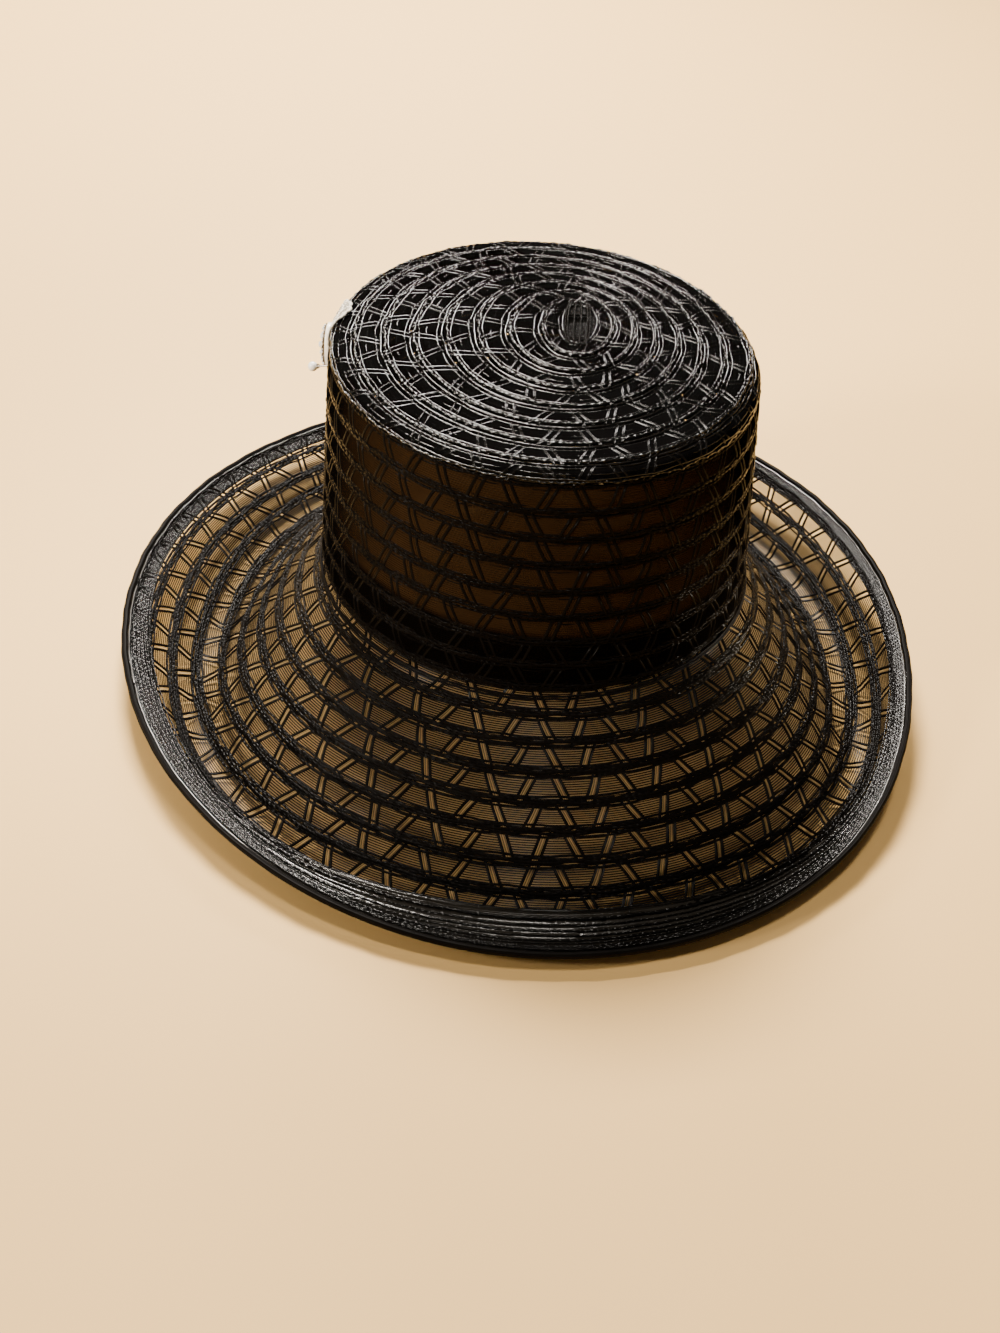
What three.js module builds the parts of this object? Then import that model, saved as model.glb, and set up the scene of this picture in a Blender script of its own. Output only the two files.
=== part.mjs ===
// Wide-brim hat of sewn lace braid, with a brooch and a pearl-headed pin on its left side.
// Millimetres, +Z up, +Y to the back of the hat and +X to the wearer's right as the front is seen.
// The hat rests on the trough of its brim, and the origin is below the middle of its outline.
import * as THREE from 'three';
import { ParametricGeometry } from 'three/addons/geometries/ParametricGeometry.js';

// Braid
const ROW_PITCH = 10.85; // from one sewn row to the next
const WALL = 1.5; // thickness of the sewn braid
const GAP = 0.3; // between neighbouring pieces

// Crown: half axes of its outer face, where its foot and its top stand and how they tilt
const FOOT = {
  halfWidth: 87,
  halfLength: 99.7,
  x: 3.62,
  y: 2.61,
  height: 46.1,
  rightUp: 2.7,
  backUp: -3.6,
};
const TOP = {
  halfWidth: 82,
  halfLength: 95.2,
  x: -0.48,
  y: 5.91,
  height: 135.4,
  rightUp: 0.9,
  backUp: 0,
};
const SHOULDER = { inset: 6, rise: 4.8, length: 8.5, turnDown: 2.5 }; // rounded edge of the tip
const TIP_DOME = 4; // rise of the tip's middle over its edge

// Brim by direction, counter-clockwise from the right side: rows from the foot of the crown
// to the trough and to the edge, and the slope up to the edge in degrees
const BRIM = [
  { direction: 0, trough: 6.3, edge: 9.52, upturn: 51 },
  { direction: 45, trough: 5.75, edge: 9.5, upturn: 40 },
  { direction: 90, trough: 5.45, edge: 9.43, upturn: 27.5 },
  { direction: 135, trough: 5.35, edge: 9.44, upturn: 19 },
  { direction: 180, trough: 5.5, edge: 9.47, upturn: 26 },
  { direction: 225, trough: 7.2, edge: 9.44, upturn: 43 },
  { direction: 270, trough: 8.2, edge: 9.4, upturn: 54 },
  { direction: 315, trough: 7.9, edge: 9.48, upturn: 58.5 },
];
const BEND_RADIUS = 10.5; // of the upper face in the trough
const REST_WIDTH = 2.2; // flat strip under the trough
const EDGE_CORD_RADIUS = 1.4;

// Band inside the foot of the crown
const BAND = { height: 31, thickness: 1, above: 1 };

// Ornament on the left side of the crown, placed by direction, height and distance off the crown
const LEAF = {
  direction: 174,
  height: 133.5,
  off: 1.1,
  length: 26,
  width: 19,
  slant: -3,
  thickness: 1.2,
};
const LEAF_SCALLOPS = { count: 14, depth: 0.07 };
const BROOCH = {
  direction: 172.5,
  height: 122.5,
  off: 2.3,
  length: 18.5,
  width: 14.5,
  lean: -2,
  swing: 4,
};
const PLATE_THICKNESS = 1.6;
const STONES = { height: 2.6, inset: 0.9 };
const PIN = {
  direction: 179,
  height: 119.6,
  dip: 16,
  swing: -14,
  length: 5.6,
  radius: 0.35,
  pearlRadius: 1.9,
};

const AROUND = 64; // steps round the hat
const TAU = 2 * Math.PI;
const lerp = THREE.MathUtils.lerp;
const radians = THREE.MathUtils.degToRad;

// A piece of braid, metal or stone in its own colour
function piece(name, geometry, color, roughness, metalness = 0) {
  const mesh = new THREE.Mesh(geometry, new THREE.MeshStandardMaterial({ color, roughness, metalness }));
  mesh.name = name;
  return mesh;
}

// A wall swept round the head: section(angle) gives the closed loop of corners at that angle
function sweptRound(section, corners, around = AROUND) {
  const surface = (u, v, target) => {
    const loop = section((v % 1) * TAU);
    target.copy(loop[Math.round(u * corners) % corners]);
  };
  return new ParametricGeometry(surface, corners, around);
}

// Height that a tilted ring has at an angle
function tiltedHeight(ring, angle) {
  return ring.height + ring.rightUp * Math.cos(angle) + ring.backUp * Math.sin(angle);
}

// Point of the crown's side: level 0 at the foot and 1 at the top, outward from its outer face
function crownPoint(angle, level, outward = 0, raise = 0) {
  const halfWidth = lerp(FOOT.halfWidth, TOP.halfWidth, level) + outward;
  const halfLength = lerp(FOOT.halfLength, TOP.halfLength, level) + outward;
  return new THREE.Vector3(
    lerp(FOOT.x, TOP.x, level) + halfWidth * Math.cos(angle),
    lerp(FOOT.y, TOP.y, level) + halfLength * Math.sin(angle),
    lerp(tiltedHeight(FOOT, angle), tiltedHeight(TOP, angle), level) + raise,
  );
}

// Level of the crown's side at a height above the table
function levelAt(angle, height) {
  const foot = tiltedHeight(FOOT, angle);
  return (height - foot) / (tiltedHeight(TOP, angle) - foot);
}

// Direction straight out of the crown's side at an angle
function outwardAt(angle) {
  const across = FOOT.halfLength * Math.cos(angle);
  const along = FOOT.halfWidth * Math.sin(angle);
  return new THREE.Vector3(across, along, 0).normalize();
}

// Smooth value between the directions of the brim table
function brimValue(angle, column) {
  const count = BRIM.length;
  const apart = radians(BRIM[1].direction - BRIM[0].direction);
  const place = (angle / apart) % count;
  const index = Math.floor(place);
  const share = place - index;
  const [a, b, c, d] = [-1, 0, 1, 2].map((step) => BRIM[(index + step + count) % count][column]);
  const curve = 2 * a - 5 * b + 4 * c - d;
  const twist = 3 * (b - c) + d - a;
  return b + 0.5 * share * (c - a + share * (curve + share * twist));
}

// Lengths and slopes of the brim at an angle. The fall is as steep as the crown's foot is high.
function brimShape(angle) {
  const trough = brimValue(angle, 'trough') * ROW_PITCH;
  const edge = brimValue(angle, 'edge') * ROW_PITCH - 2 * EDGE_CORD_RADIUS - GAP;
  const upturn = radians(brimValue(angle, 'upturn'));
  const drop = tiltedHeight(FOOT, angle) - WALL;
  let fall = 0;
  for (let step = Math.PI / 4; step > 1e-9; step /= 2) {
    const tried = fall + step;
    const line = trough - BEND_RADIUS * tried;
    if (line > 0 && line * Math.sin(tried) + BEND_RADIUS * (1 - Math.cos(tried)) < drop) fall = tried;
  }
  return { trough, edge, upturn, fall };
}

// Point of the brim at a length from the crown's foot and a depth under its upper face
function brimPoint(angle, shape, length, depth = 0) {
  const { trough, upturn, fall } = shape;
  const bendStart = trough - BEND_RADIUS * fall;
  const bendEnd = trough + BEND_RADIUS * upturn;
  const line = Math.min(length, bendStart);
  const slope = (THREE.MathUtils.clamp(length, bendStart, bendEnd) - trough) / BEND_RADIUS;
  const rise = Math.max(length - bendEnd, 0);
  const bendOut = BEND_RADIUS * (Math.sin(slope) + Math.sin(fall));
  const bendUp = BEND_RADIUS * (Math.cos(fall) - Math.cos(slope));
  const out = line * Math.cos(fall) + bendOut + rise * Math.cos(upturn);
  const up = bendUp + rise * Math.sin(upturn) - line * Math.sin(fall);
  const point = crownPoint(angle, 0).addScaledVector(outwardAt(angle), out + depth * Math.sin(slope));
  point.z += up - depth * Math.cos(slope);
  if (depth > 0 && Math.abs(length - trough) < 0.51 * REST_WIDTH) point.z = 0;
  return point;
}

// Oval top: dome, rounded shoulder and turned-down edge, then the same inside
function makeCrownTip() {
  const domeShares = [0, 0.25, 0.5, 0.75];
  const shoulderAngles = [0, 30, 60, 90].map(radians);
  const face = (angle, depth) => {
    const fold = (share, inset, raise) => {
      const point = crownPoint(angle, 1, -inset);
      const middle = new THREE.Vector3(TOP.x, TOP.y, TOP.height);
      return middle.lerp(point, share).add(new THREE.Vector3(0, 0, raise));
    };
    const rise = SHOULDER.rise - depth;
    const reach = SHOULDER.inset - depth;
    const dome = domeShares.map((share) => {
      return fold(share, SHOULDER.inset, rise + TIP_DOME * (1 - share * share));
    });
    const shoulder = shoulderAngles.map((turn) => {
      return fold(1, SHOULDER.inset - reach * Math.sin(turn), rise * Math.cos(turn));
    });
    return [...dome, ...shoulder, fold(1, depth, -SHOULDER.turnDown)];
  };
  const corners = 2 * (domeShares.length + shoulderAngles.length + 1);
  return sweptRound((angle) => [...face(angle, 0), ...face(angle, WALL).reverse()], corners);
}

// Oval side of the crown, from under the tip to the foot
function makeCrownSide() {
  const height = TOP.height - FOOT.height;
  const levels = [1 - (SHOULDER.turnDown + GAP) / height, 0.75, 0.5, 0.25, GAP / height];
  const face = (angle, depth) => levels.map((level) => crownPoint(angle, level, -depth));
  return sweptRound((angle) => [...face(angle, 0), ...face(angle, WALL).reverse()], 2 * levels.length);
}

// Stretch of the brim through the lengths from the crown's foot that lengthsAt gives for a shape
function makeBrimWall(count, lengthsAt) {
  const face = (angle, depth) => {
    const shape = brimShape(angle);
    return lengthsAt(shape).map((length) => brimPoint(angle, shape, length, depth));
  };
  return sweptRound((angle) => [...face(angle, 0), ...face(angle, WALL).reverse()], 2 * count);
}

// Falling part of the brim, as far as the flat strip under its trough
function makeBrim() {
  const shares = [0, 0.3, 0.55, 0.75, 0.87, 0.94];
  return makeBrimWall(shares.length + 2, ({ trough }) => [
    ...shares.map((share) => share * trough),
    trough - REST_WIDTH / 2,
    trough + REST_WIDTH / 2,
  ]);
}

// Upturned part of the brim, from beyond the flat strip to the edge
function makeBrimUpturn() {
  const shares = [0, 0.25, 0.45, 0.7, 1];
  return makeBrimWall(shares.length, ({ trough, edge }) => {
    return shares.map((share) => lerp(trough + REST_WIDTH / 2 + GAP, edge, share));
  });
}

// Cord wound round the edge of the brim
function makeBrimEdge() {
  const corners = 6;
  return sweptRound((angle) => {
    const shape = brimShape(angle);
    const middle = brimPoint(angle, shape, shape.edge + GAP + EDGE_CORD_RADIUS, WALL / 2);
    const across = brimPoint(angle, shape, shape.edge + GAP, WALL / 2).sub(middle).normalize();
    const upward = brimPoint(angle, shape, shape.edge, 0).sub(brimPoint(angle, shape, shape.edge, WALL));
    upward.normalize();
    return Array.from({ length: corners }, (_, corner) => {
      const turn = (corner / corners) * TAU;
      return middle
        .clone()
        .addScaledVector(across, -EDGE_CORD_RADIUS * Math.sin(turn))
        .addScaledVector(upward, EDGE_CORD_RADIUS * Math.cos(turn));
    });
  }, corners);
}

// Band inside the foot of the crown
function makeHeadBand() {
  const height = TOP.height - FOOT.height;
  const levels = [(BAND.above + BAND.height) / height, BAND.above / height];
  const outside = -WALL - GAP;
  const inside = outside - BAND.thickness;
  return sweptRound(
    (angle) => [
      ...levels.map((level) => crownPoint(angle, level, outside)),
      ...levels.map((level) => crownPoint(angle, level, inside)).reverse(),
    ],
    4,
  );
}

// Point off the crown's outer face. Heights over its top go on along the rounded edge of the tip.
function wrappedPoint(angle, height, off) {
  const over = height - tiltedHeight(TOP, angle);
  if (over <= 0) return crownPoint(angle, levelAt(angle, height), off);
  const turn = Math.min(over / SHOULDER.length, 1) * (Math.PI / 2);
  const past = Math.max(over - SHOULDER.length, 0); // reach on to the tip's dome
  const inset = SHOULDER.inset * (1 - Math.cos(turn)) - off * Math.cos(turn) + past;
  return crownPoint(angle, 1, -inset, (SHOULDER.rise + off) * Math.sin(turn) + 0.1 * past);
}

// Point of the leaf: share of the way from its middle to its scalloped outline, and side of its thickness
function leafPoint(turn, share, side) {
  const middle = radians(LEAF.direction);
  const scallop = 1 - LEAF_SCALLOPS.depth * (1 - Math.abs(Math.sin((LEAF_SCALLOPS.count / 2) * turn)));
  const along = 0.5 * LEAF.length * share * scallop * Math.cos(turn);
  const across = 0.5 * LEAF.width * share * scallop * Math.sin(turn) * (1 - 0.25 * Math.cos(turn) ** 2);
  const slant = radians(LEAF.slant);
  const round = along * Math.cos(slant) - across * Math.sin(slant);
  const height = LEAF.height + along * Math.sin(slant) + across * Math.cos(slant);
  const angle = middle + round / FOOT.halfWidth;
  return wrappedPoint(angle, height, LEAF.off + (side * LEAF.thickness) / 2);
}

// Lace leaf that follows the crown's side and laps over the rounded edge of the tip
function makeLaceLeaf() {
  const shares = [0, 0.35, 0.6, 0.8, 1];
  const section = (turn) => [
    ...shares.map((share) => leafPoint(turn, share, 1)),
    ...shares.map((share) => leafPoint(turn, share, -1)).reverse(),
  ];
  return sweptRound(section, 2 * shares.length, 4 * LEAF_SCALLOPS.count);
}

// Group on the crown's side whose Y axis points away from the crown and Z axis up
function onCrown({ direction, height, off, lean = 0, swing = 0 }) {
  const angle = radians(direction);
  const group = new THREE.Group();
  const outward = outwardAt(angle);
  group.position.copy(crownPoint(angle, levelAt(angle, height), off));
  group.rotation.order = 'ZXY';
  group.rotation.z = Math.atan2(outward.y, outward.x) - Math.PI / 2 + radians(swing);
  group.rotation.x = radians(lean);
  return group;
}

// Oval turned piece of the brooch: profile of distances from its axis and heights along it
function makeOval(profile) {
  const points = profile.map(([distance, height]) => new THREE.Vector2(distance, height));
  return new THREE.LatheGeometry(points, 32).scale(1, 1, BROOCH.length / BROOCH.width);
}

// White plate under the stones
function makeBroochPlate() {
  const radius = BROOCH.width / 2;
  return makeOval([[0, 0], [radius, 0], [radius, PLATE_THICKNESS], [0, PLATE_THICKNESS]]);
}

// Mound that the stones fill
function makeBroochStones() {
  const radius = BROOCH.width / 2 - STONES.inset;
  const base = PLATE_THICKNESS + GAP;
  const steps = [90, 65, 40, 20, 0].map(radians);
  const mound = steps.map((turn) => {
    return [radius * Math.sin(turn), base + STONES.height * (0.35 + 0.65 * Math.cos(turn))];
  });
  return makeOval([[0, base], [radius, base], ...mound]);
}

const hat = new THREE.Group();
hat.add(piece('crown_tip', makeCrownTip(), 0x16161a, 0.35));
hat.add(piece('crown_side', makeCrownSide(), 0x141414, 0.35));
hat.add(piece('brim', makeBrim(), 0x151517, 0.35));
hat.add(piece('brim_upturn', makeBrimUpturn(), 0x151517, 0.35));
hat.add(piece('brim_edge', makeBrimEdge(), 0x0d0d0f, 0.3));
hat.add(piece('head_band', makeHeadBand(), 0x0a0a0a, 0.6));
hat.add(piece('lace_leaf', makeLaceLeaf(), 0xf1ece2, 0.7));

const brooch = onCrown(BROOCH);
brooch.add(piece('brooch_plate', makeBroochPlate(), 0xf3f0ea, 0.4));
brooch.add(piece('brooch_stones', makeBroochStones(), 0xd9d9de, 0.15, 0.4));
hat.add(brooch);

const pin = onCrown({ ...PIN, off: GAP, lean: -PIN.dip });
const wire = new THREE.CylinderGeometry(PIN.radius, PIN.radius, PIN.length, 12);
const stem = piece('pin_stem', wire, 0x4a4440, 0.3, 0.9);
stem.position.y = PIN.length / 2;
const pearl = piece('pin_pearl', new THREE.SphereGeometry(PIN.pearlRadius, 20, 12), 0xf4efe6, 0.25);
pearl.position.y = PIN.length + GAP + PIN.pearlRadius;
pin.add(stem, pearl);
hat.add(pin);

export default hat;
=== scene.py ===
"""Wide-brim hat of sewn lace braid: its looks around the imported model, as an add-on that runs as a script."""
import math
from typing import NamedTuple

import bmesh
import bpy
import numpy as np
from bpy.props import FloatProperty, FloatVectorProperty, IntProperty, PointerProperty
from bpy.types import Operator, Panel, PropertyGroup
from mathutils import Matrix, Vector


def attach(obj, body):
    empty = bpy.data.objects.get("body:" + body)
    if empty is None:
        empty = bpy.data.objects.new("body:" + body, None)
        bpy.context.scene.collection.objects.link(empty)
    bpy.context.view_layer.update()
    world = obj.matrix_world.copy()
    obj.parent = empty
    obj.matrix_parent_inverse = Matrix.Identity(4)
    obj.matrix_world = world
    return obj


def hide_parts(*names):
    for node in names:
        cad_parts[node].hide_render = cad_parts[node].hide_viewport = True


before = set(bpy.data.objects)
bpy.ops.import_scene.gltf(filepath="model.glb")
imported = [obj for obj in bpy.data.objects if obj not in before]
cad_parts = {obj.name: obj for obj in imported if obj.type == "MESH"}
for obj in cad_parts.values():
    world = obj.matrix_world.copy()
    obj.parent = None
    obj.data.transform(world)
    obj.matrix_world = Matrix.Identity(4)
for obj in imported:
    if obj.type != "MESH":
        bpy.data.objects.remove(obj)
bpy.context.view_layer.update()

bl_info = {
    "name": "Lace Braid Hat",
    "version": (1, 0, 0),
    "blender": (4, 5, 0),
    "location": "View3D > Sidebar > Hat",
    "description": "Builds a wide-brim hat from one lace braid that is sewn row beside row",
    "category": "Add Mesh",
}

TAU = 2 * math.pi
MM = 0.001


class Ring(NamedTuple):
    """Oval round the head: half axes, middle, height, and how far its right and its back stand up"""

    half_width: float
    half_length: float
    x: float
    y: float
    height: float
    right_up: float
    back_up: float


class BrimRow(NamedTuple):
    """Brim in one direction: rows from the crown's foot to the trough and to the edge, slope up to the edge"""

    direction: float
    trough: float
    edge: float
    upturn: float


# Shape of the hat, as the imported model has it
ROW_PITCH = 10.85 * MM
WALL = 1.5 * MM
FOOT = Ring(87 * MM, 99.7 * MM, 3.62 * MM, 2.61 * MM, 46.1 * MM, 2.7 * MM, -3.6 * MM)
TOP = Ring(82 * MM, 95.2 * MM, -0.48 * MM, 5.91 * MM, 135.4 * MM, 0.9 * MM, 0.0)
SHOULDER_INSET = 6 * MM
SHOULDER_RISE = 4.8 * MM
SHOULDER_LENGTH = 8.5 * MM
TIP_DOME = 4 * MM
BRIM = (
    BrimRow(0, 6.3, 9.52, 51),
    BrimRow(45, 5.75, 9.5, 40),
    BrimRow(90, 5.45, 9.43, 27.5),
    BrimRow(135, 5.35, 9.44, 19),
    BrimRow(180, 5.5, 9.47, 26),
    BrimRow(225, 7.2, 9.44, 43),
    BrimRow(270, 8.2, 9.4, 54),
    BrimRow(315, 7.9, 9.48, 58.5),
)
BEND_RADIUS = 10.5 * MM
GAP = 0.3 * MM  # between neighbouring pieces

# Route of the braid, counted in rows from the edge of the straight block in the middle of the tip
START = math.radians(-70)  # direction in which the first turn leaves the block
BLOCK = Ring(5.5 * MM, 16.5 * MM, 10.6 * MM, 16.6 * MM, 0.0, 0.0, 0.0)
FOLD_ROWS = 6.944  # to the fold round the tip
SIDE_ROWS = 7.944  # to the top of the side
CHANGE_ROWS = SIDE_ROWS + 0.5  # to the place at the back where the shiny braid of the tip ends
EVEN_ROWS = 13.944  # to where the rows of the side begin to close up
FOOT_ROWS = 16.36  # to the foot of the crown
SOFTEN = 0.12  # rows over which folds are rounded
FIRST_TURN = 0.3

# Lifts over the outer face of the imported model
ROW_LOW = -1.3 * MM  # inner edge of a row
ROW_HIGH = -0.5 * MM  # outer edge, which laps over the next row


def mix(low, high, share):
    return low + (high - low) * share


def ring_height(ring, angle):
    """Height that a tilted ring has at an angle"""
    return ring.height + ring.right_up * np.cos(angle) + ring.back_up * np.sin(angle)


def crown_point(angle, level, outward=0.0, raised=0.0):
    """Point of the crown's side: level 0 at the foot and 1 at the top, outward from its outer face"""
    half_width = mix(FOOT.half_width, TOP.half_width, level) + outward
    half_length = mix(FOOT.half_length, TOP.half_length, level) + outward
    x = mix(FOOT.x, TOP.x, level) + half_width * np.cos(angle)
    y = mix(FOOT.y, TOP.y, level) + half_length * np.sin(angle)
    z = mix(ring_height(FOOT, angle), ring_height(TOP, angle), level) + raised
    return np.stack((x, y, z), axis=-1)


def crown_level(angle, height):
    """Level of the crown's side at a height above the table"""
    foot = ring_height(FOOT, angle)
    return (height - foot) / (ring_height(TOP, angle) - foot)


def wrapped_point(angle, height, off):
    """Point off the crown's outer face. Heights over its top go on along the rounded edge of the tip."""
    top = ring_height(TOP, angle)
    over = np.maximum(height - top, 0)
    turn = np.minimum(over / SHOULDER_LENGTH, 1) * math.pi / 2
    past = np.maximum(over - SHOULDER_LENGTH, 0)
    side = crown_point(angle, crown_level(angle, np.minimum(height, top)), off)
    inset = SHOULDER_INSET * (1 - np.cos(turn)) - off * np.cos(turn) + past
    edge = crown_point(angle, 1.0, -inset, (SHOULDER_RISE + off) * np.sin(turn) + 0.1 * past)
    return np.where((height > top)[..., None], edge, side)


def outward_at(angle):
    """Direction straight out of the crown's side"""
    x = FOOT.half_length * np.cos(angle)
    y = FOOT.half_width * np.sin(angle)
    size = np.hypot(x, y)
    return np.stack((x / size, y / size, np.zeros_like(size)), axis=-1)


def tip_point(x, y):
    """Point of the tip's dome over a place of its plan"""
    across = (x - TOP.x) / (TOP.half_width - SHOULDER_INSET)
    along = (y - TOP.y) / (TOP.half_length - SHOULDER_INSET)
    dome = SHOULDER_RISE + TIP_DOME * (1 - across**2 - along**2)
    return np.stack((x, y, TOP.height + TOP.right_up * across + TOP.back_up * along + dome), axis=-1)


def brim_value(angle, column):
    """Smooth value between the directions of the brim table"""
    values = np.array([row[column] for row in BRIM])
    place = (angle * len(BRIM) / TAU) % len(BRIM)
    index = np.floor(place).astype(int)
    share = place - index
    a, b, c, d = (values[(index + step) % len(BRIM)] for step in (-1, 0, 1, 2))
    curve = 2 * a - 5 * b + 4 * c - d
    twist = 3 * (b - c) + d - a
    return b + 0.5 * share * (c - a + share * (curve + share * twist))


class BrimShape:
    """Lengths and slopes of the brim round the hat. The fall is as steep as the crown's foot is high."""

    def __init__(self, steps=720):
        self.angles = np.arange(steps) * TAU / steps
        self.trough = brim_value(self.angles, 1) * ROW_PITCH
        self.edge = brim_value(self.angles, 2) * ROW_PITCH
        self.upturn = np.radians(brim_value(self.angles, 3))
        drop = ring_height(FOOT, self.angles) - WALL
        self.fall = np.zeros(steps)
        step = math.pi / 4
        while step > 1e-9:
            tried = self.fall + step
            line = self.trough - BEND_RADIUS * tried
            dropped = line * np.sin(tried) + BEND_RADIUS * (1 - np.cos(tried))
            self.fall = np.where((line > 0) & (dropped < drop), tried, self.fall)
            step /= 2

    def at(self, angle, values):
        return np.interp(angle, self.angles, values, period=TAU)


BRIM_SHAPE = BrimShape()


def brim_point(angle, length, depth=0.0):
    """Point of the brim at a length from the crown's foot and a depth under its upper face"""
    trough = BRIM_SHAPE.at(angle, BRIM_SHAPE.trough)
    upturn = BRIM_SHAPE.at(angle, BRIM_SHAPE.upturn)
    fall = BRIM_SHAPE.at(angle, BRIM_SHAPE.fall)
    bend_start = trough - BEND_RADIUS * fall
    bend_end = trough + BEND_RADIUS * upturn
    line = np.minimum(length, bend_start)
    slope = (np.clip(length, bend_start, bend_end) - trough) / BEND_RADIUS
    rise = np.maximum(length - bend_end, 0)
    out = line * np.cos(fall) + BEND_RADIUS * (np.sin(slope) + np.sin(fall)) + rise * np.cos(upturn)
    up = BEND_RADIUS * (np.cos(fall) - np.cos(slope)) + rise * np.sin(upturn) - line * np.sin(fall)
    point = crown_point(angle, 0.0) + outward_at(angle) * (out + depth * np.sin(slope))[..., None]
    point[..., 2] += up - depth * np.cos(slope)
    return point


def edge_rows(angle):
    """Rows from the block to the very edge of the brim"""
    return FOOT_ROWS + BRIM_SHAPE.at(angle, BRIM_SHAPE.edge) / ROW_PITCH


def folded_point(rows, angle):
    """Point of the hat's outer face at a number of rows from the block, with sharp folds"""
    rows, angle = np.broadcast_arrays(rows, angle)
    point = brim_point(angle, np.maximum(rows - FOOT_ROWS, 0) * ROW_PITCH)
    side = rows < FOOT_ROWS
    even_level = 1 - (EVEN_ROWS - SIDE_ROWS) * ROW_PITCH / (TOP.height - FOOT.height)
    level = np.interp(rows, (SIDE_ROWS, EVEN_ROWS, FOOT_ROWS), (1.0, even_level, 0.0))
    point[side] = crown_point(angle[side], level[side])
    shoulder = rows < SIDE_ROWS
    turn = (rows[shoulder] - FOLD_ROWS) / (SIDE_ROWS - FOLD_ROWS) * math.pi / 2
    inset = SHOULDER_INSET * (1 - np.sin(turn))
    point[shoulder] = crown_point(angle[shoulder], 1.0, -inset, SHOULDER_RISE * np.cos(turn))
    tip = rows < FOLD_ROWS
    share = np.maximum(rows[tip], -0.4) / FOLD_ROWS
    off_middle = np.clip(1 - share, 0, 1) ** 1.5
    half_width = mix(BLOCK.half_width, TOP.half_width - SHOULDER_INSET, share)
    half_length = mix(BLOCK.half_length, TOP.half_length - SHOULDER_INSET, share)
    x = TOP.x + (BLOCK.x - TOP.x) * off_middle + half_width * np.cos(angle[tip])
    y = TOP.y + (BLOCK.y - TOP.y) * off_middle + half_length * np.sin(angle[tip])
    point[tip] = tip_point(x, y)
    return point


def hat_point(rows, angle):
    """Point of the hat's outer face with its folds rounded"""
    before = folded_point(rows - SOFTEN, angle)
    after = folded_point(rows + SOFTEN, angle)
    return 0.25 * before + 0.5 * folded_point(rows, angle) + 0.25 * after


def hat_place(rows, angle, lift):
    """Place over or under the hat's outer face"""
    step = 0.02
    turn = 0.002
    down = hat_point(rows + step, angle) - hat_point(rows - step, angle)
    round_ = hat_point(rows, angle + turn) - hat_point(rows, angle - turn)
    normal = np.cross(down, round_)
    normal /= np.linalg.norm(normal, axis=-1, keepdims=True)
    return hat_point(rows, angle) + normal * lift[..., None]


class Route:
    """Spiral of the braid from the block to the brim's edge, with the length sewn at each turn"""

    def __init__(self, steps_a_turn=240):
        last = edge_rows(START) - 0.02
        self.turns = np.linspace(FIRST_TURN, last, int((last - FIRST_TURN) * steps_a_turn))
        inner, outer = self.seams(self.turns)
        middle = hat_point((inner + outer) / 2, self.angle(self.turns))
        steps = np.linalg.norm(np.diff(middle, axis=0), axis=1)
        self.lengths = np.concatenate(([0.0], np.cumsum(steps)))

    def angle(self, turns):
        return START + turns * TAU

    def sway(self, turns):
        """Rows by which hand sewing leaves the even spiral"""
        return 0.022 * np.sin(TAU * 2.37 * turns) + 0.016 * np.sin(TAU * 5.71 * turns + 1)

    def seams(self, turns):
        """Rows of the inner and the outer seam"""
        inner = np.maximum(turns - 1 + self.sway(turns - 1), 0)
        outer = turns + self.sway(turns)
        return inner, np.minimum(outer, edge_rows(self.angle(turns)) - 0.3)

    def length_at(self, turns):
        return float(np.interp(turns, self.turns, self.lengths))

    def lay(self, flat):
        """Lays flat braid on the hat: columns are length, share across the row and lift"""
        pull = 0.7 * MM * np.sin(TAU * flat[:, 0] / 0.041) + 0.5 * MM * np.sin(TAU * flat[:, 0] / 0.0173)
        turns = np.interp(flat[:, 0] + pull * (flat[:, 1] - 0.5), self.lengths, self.turns)
        inner, outer = self.seams(turns)
        rows = mix(inner, outer, flat[:, 1])
        lift = flat[:, 2] + mix(ROW_LOW, ROW_HIGH, flat[:, 1])
        return hat_place(rows, self.angle(turns), lift)


ROUTE = Route()


class Zone(NamedTuple):
    """Stretch of the braid from turn to turn: how its film covers between and on threads, swells and shines"""

    name: str
    start: float
    end: float
    nodes: tuple
    window_cover: tuple
    slit_cover: tuple
    swell: float
    shine: float
    color: tuple


ZONES = (
    Zone("crown_tip", FIRST_TURN, CHANGE_ROWS, ("crown_tip",),
         (0.84, 0.97), (0.84, 0.97), 0.4 * MM, 0.0, (0.0014, 0.0012, 0.0012)),
    # The side's colour is the amber of a painted glow, which stands in for light seen through the film at the
    # front of the crown
    Zone("crown_side", CHANGE_ROWS, FOOT_ROWS, ("crown_side",),
         (0.94, 0.995), (0.93, 0.99), 0.75 * MM, 0.0, (0.013, 0.0068, 0.0026)),
    Zone("brim", FOOT_ROWS, float(ROUTE.turns[-1]), ("brim", "brim_upturn"),
         (0.16, 0.84), (0.04, 0.36), 0.45 * MM, 0.06, (0.006, 0.0045, 0.003)),
)


# Sizes and colours that a user would change, with lengths in millimetres and angles in degrees


def length_value(name, description, default, **limits):
    return FloatProperty(
        name=name, description=description, default=default * MM, unit="LENGTH", precision=5, **limits)


def angle_value(name, description, default):
    return FloatProperty(name=name, description=description, default=math.radians(default), subtype="ANGLE")


def color_value(name, description, default):
    return FloatVectorProperty(
        name=name, description=description, default=default, subtype="COLOR", min=0, max=1)


def number_value(name, description, default, least, kind=IntProperty):
    return kind(name=name, description=description, default=default, min=least)


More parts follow.
